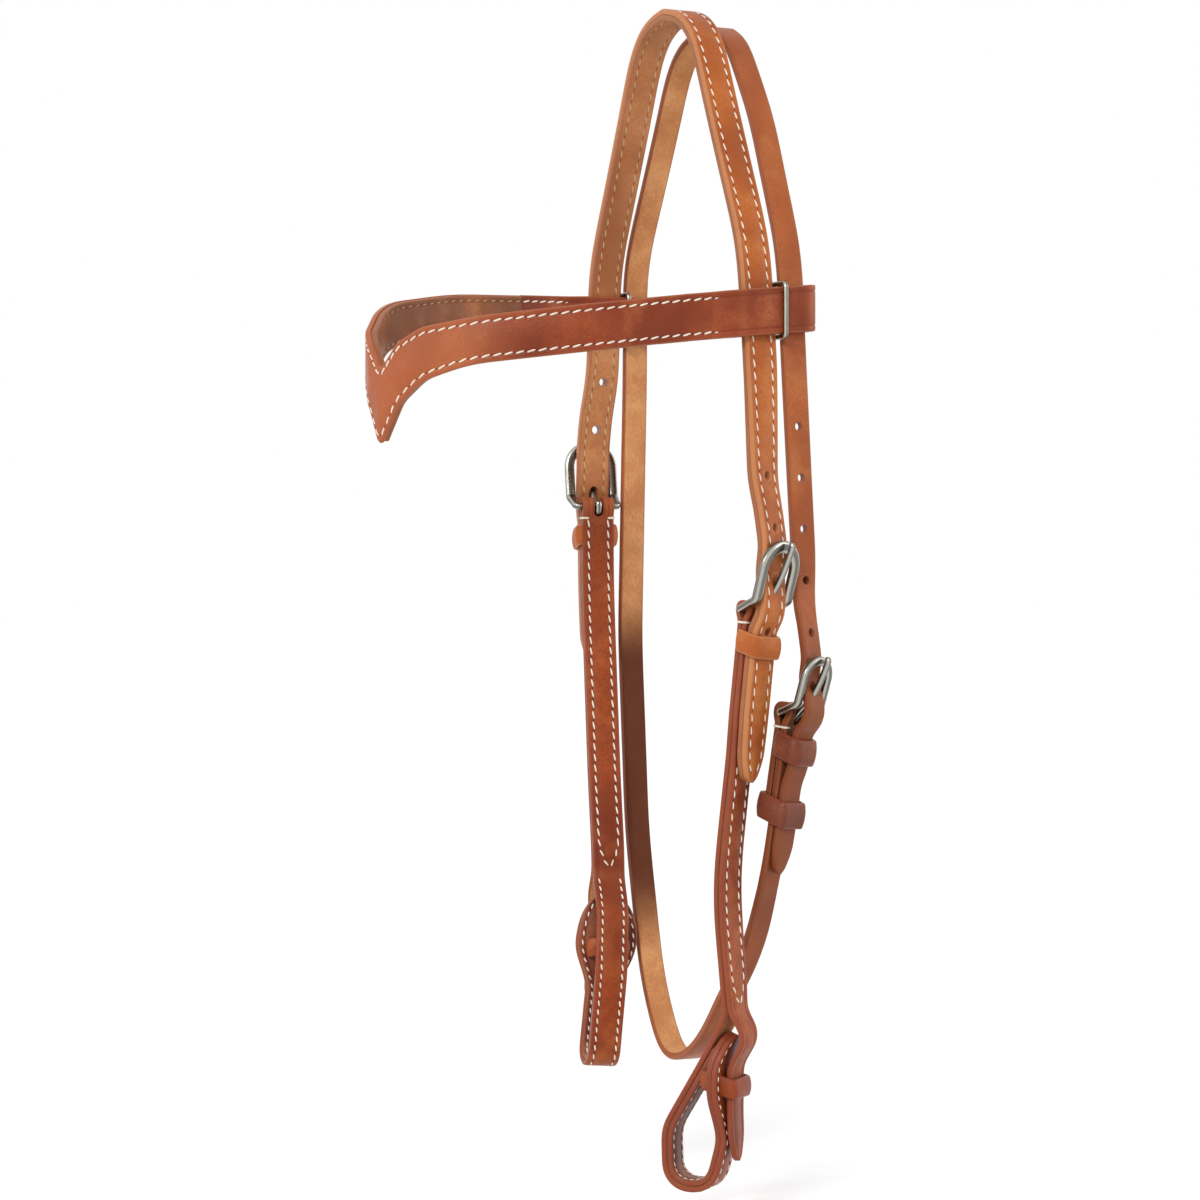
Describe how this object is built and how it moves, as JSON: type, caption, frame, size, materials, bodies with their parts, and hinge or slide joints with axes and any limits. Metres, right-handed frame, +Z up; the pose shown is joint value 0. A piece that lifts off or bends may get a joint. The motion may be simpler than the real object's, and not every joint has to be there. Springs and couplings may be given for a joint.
{
  "type": "western bridle",
  "caption": "Western bridle headstall: doubled leather crown and cheek straps with buckles and bit loops, pointed stitched browband and buckled throatlatch.",
  "frame": {"origin": "poll rest: the middle of the underside of the crown strap where it lies over the horse's poll", "axes": "+Z up, +X towards the horse's near (left) side, -Y forward towards the horse's nose"},
  "size_m": [0.1924, 0.1899, 0.5529],
  "materials": {
    "crown_outer": "oiled smooth grain, reddish brown",
    "crown_liner": "flesh side, matt",
    "near_cheek_strap": "oiled smooth grain, reddish brown",
    "near_bit_liner": "flesh side, matt",
    "near_bit_keeper": "oiled smooth grain, reddish brown",
    "near_cheek_keeper": "oiled smooth grain, reddish brown",
    "near_bar_lashing": "waxed off-white thread",
    "off_cheek_strap": "oiled smooth grain, reddish brown",
    "off_bit_liner": "flesh side, matt",
    "off_bit_keeper": "oiled smooth grain, reddish brown",
    "off_cheek_keeper": "oiled smooth grain, reddish brown",
    "off_bar_lashing": "waxed off-white thread",
    "throatlatch": "oiled smooth grain, reddish brown",
    "throat_fixed_keeper": "oiled smooth grain, reddish brown",
    "near_buckle_frame": "satin stainless steel",
    "near_buckle_tongue": "satin stainless steel",
    "off_buckle_frame": "satin stainless steel",
    "off_buckle_tongue": "satin stainless steel",
    "throat_buckle_frame": "satin stainless steel",
    "throat_buckle_tongue": "satin stainless steel",
    "throat_sliding_keeper": "oiled smooth grain, reddish brown",
    "browband_outer": "oiled smooth grain, reddish brown",
    "browband_liner": "flesh side, matt",
    "near_browband_ring": "satin stainless steel",
    "off_browband_ring": "satin stainless steel"
  },
  "bodies": {
    "straps": {"crown_outer": "crown_outer", "crown_liner": "crown_liner", "near_cheek_strap": "near_cheek_strap", "near_bit_liner": "near_bit_liner", "near_bit_keeper": "near_bit_keeper", "near_cheek_keeper": "near_cheek_keeper", "near_bar_lashing": "near_bar_lashing", "off_cheek_strap": "off_cheek_strap", "off_bit_liner": "off_bit_liner", "off_bit_keeper": "off_bit_keeper", "off_cheek_keeper": "off_cheek_keeper", "off_bar_lashing": "off_bar_lashing", "throatlatch": "throatlatch", "throat_fixed_keeper": "throat_fixed_keeper"},
    "near_frame": {"near_buckle_frame": "near_buckle_frame"},
    "near_tongue": {"near_buckle_tongue": "near_buckle_tongue"},
    "off_frame": {"off_buckle_frame": "off_buckle_frame"},
    "off_tongue": {"off_buckle_tongue": "off_buckle_tongue"},
    "throat_frame": {"throat_buckle_frame": "throat_buckle_frame"},
    "throat_tongue": {"throat_buckle_tongue": "throat_buckle_tongue"},
    "sliding_keeper": {"throat_sliding_keeper": "throat_sliding_keeper"},
    "browband": {"browband_outer": "browband_outer", "browband_liner": "browband_liner", "near_browband_ring": "near_browband_ring", "off_browband_ring": "off_browband_ring"}
  },
  "joints": [
    {"name": "near_frame_hinge", "type": "hinge", "parent": "straps", "child": "near_frame", "pos_m": [0.07672, -0.00262, -0.2795], "axis": [-0.3774, 0.925, -0.0439], "range_deg": [-1, 0]},
    {"name": "near_tongue_hinge", "type": "hinge", "parent": "near_frame", "child": "near_tongue", "pos_m": [0.07672, -0.00262, -0.2795], "axis": [-0.3774, 0.925, -0.0439], "range_deg": [0, 1]},
    {"name": "off_frame_hinge", "type": "hinge", "parent": "straps", "child": "off_frame", "pos_m": [-0.077, -0.00175, -0.2285], "axis": [-0.2327, -0.9725, 0.0023], "range_deg": [-1, 0]},
    {"name": "off_tongue_hinge", "type": "hinge", "parent": "off_frame", "child": "off_tongue", "pos_m": [-0.077, -0.00175, -0.2285], "axis": [-0.2327, -0.9725, 0.0023], "range_deg": [0, 1]},
    {"name": "throat_frame_hinge", "type": "hinge", "parent": "straps", "child": "throat_frame", "pos_m": [0.07469, 0.01815, -0.3268], "axis": [-0.3793, 0.9242, -0.0451], "range_deg": [-1, 0]},
    {"name": "throat_tongue_hinge", "type": "hinge", "parent": "throat_frame", "child": "throat_tongue", "pos_m": [0.07469, 0.01815, -0.3268], "axis": [-0.3793, 0.9242, -0.0451], "range_deg": [0, 1]},
    {"name": "keeper_slide", "type": "slide", "parent": "straps", "child": "sliding_keeper", "axis": [-0.1192, -0.0897, -0.9888], "range_m": [-0.003, 0.003]},
    {"name": "browband_slide", "type": "slide", "parent": "straps", "child": "browband", "axis": [0, 0, 1], "range_m": [-0.003, 0.003]}
  ]
}
